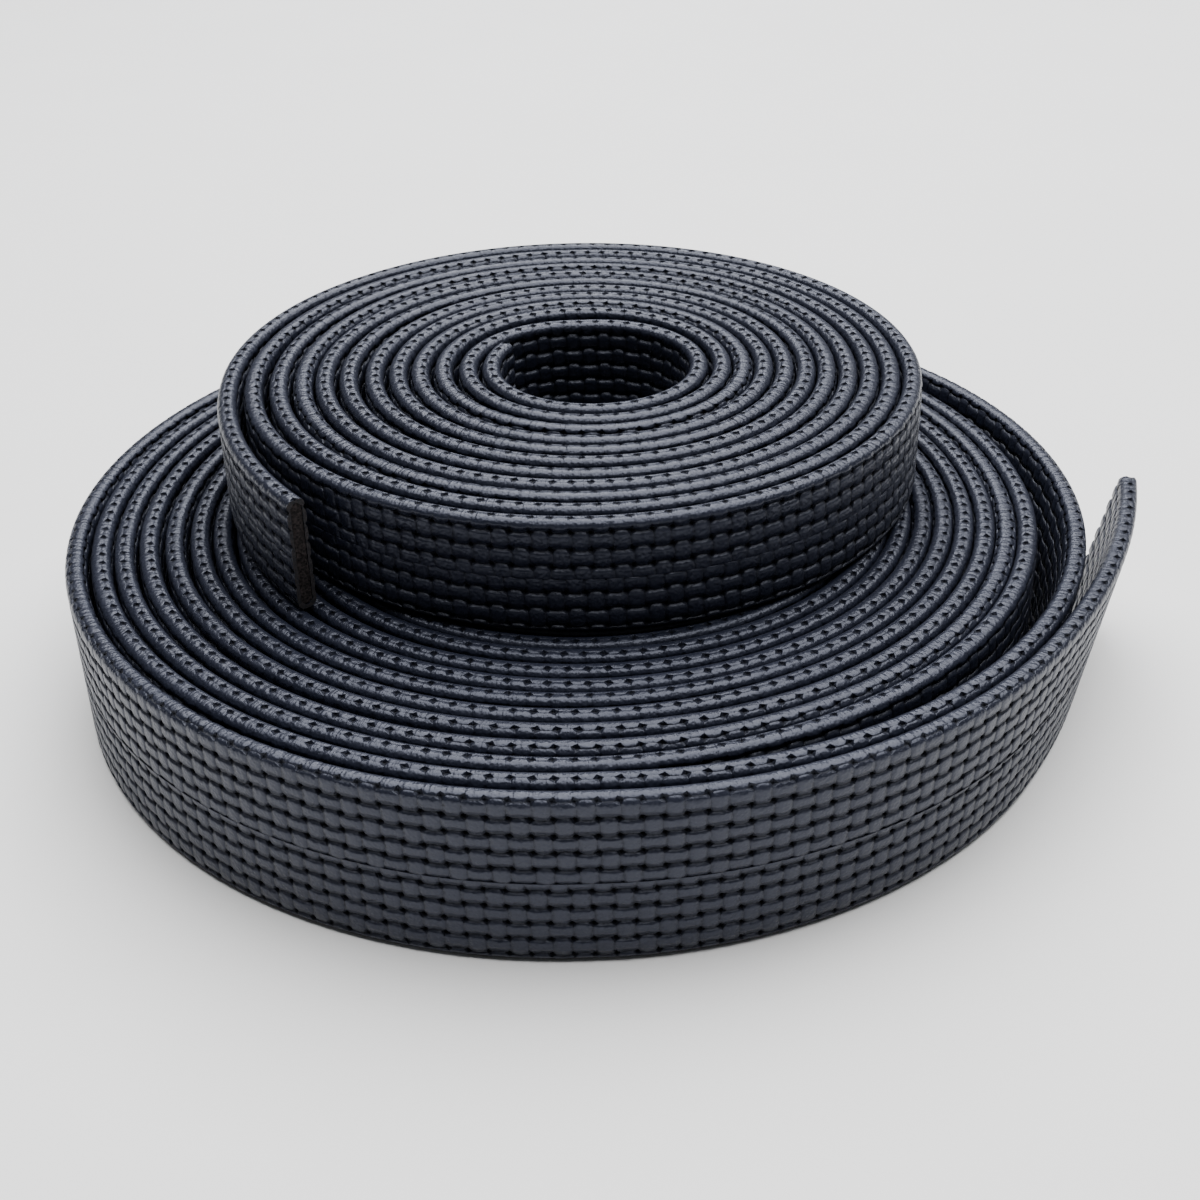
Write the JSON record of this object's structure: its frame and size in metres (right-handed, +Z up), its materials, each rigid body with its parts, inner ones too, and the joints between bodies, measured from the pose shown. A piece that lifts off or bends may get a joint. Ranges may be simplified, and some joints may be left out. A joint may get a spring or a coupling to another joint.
{
  "type": "strap roll",
  "caption": "Two rolls of flat foam-cored strap in an embossed leather-look cover, a narrow roll lying on a wide one, each with a loose end.",
  "frame": {"origin": "on the wide roll's eye axis, in the plane that the wide roll lies on", "axes": "+Z up along both eye axes, +X to the right and +Y to the back as the rolls are seen from the front"},
  "size_m": [0.1915, 0.1762, 0.0501],
  "materials": {
    "cover": "embossed in a small basket weave, satin",
    "foam": "open-cell foam, matt"
  },
  "bodies": {
    "lower_roll": {"lower_cover": "cover", "lower_core": "foam"},
    "lower_end": {"lower_end_cover": "cover", "lower_end_core": "foam"},
    "upper_roll": {"upper_cover": "cover", "upper_core": "foam"},
    "upper_end": {"upper_end_cover": "cover", "upper_end_core": "foam"}
  },
  "joints": [
    {"name": "lift", "type": "slide", "parent": "lower_roll", "child": "upper_roll", "axis": [0, 0, 1], "range_m": [0, 0.04]},
    {"name": "lower_end_bend", "type": "hinge", "parent": "lower_roll", "child": "lower_end", "pos_m": [0.06694, -0.05608, 0.015], "axis": [0, 0, 1], "range_deg": [-35, 0], "stiffness_Nm_per_rad": 0.01},
    {"name": "upper_end_bend", "type": "hinge", "parent": "upper_roll", "child": "upper_end", "pos_m": [-0.06545, 0.0132, 0.0401], "axis": [0, 0, 1], "range_deg": [-35, 0], "stiffness_Nm_per_rad": 0.01}
  ]
}
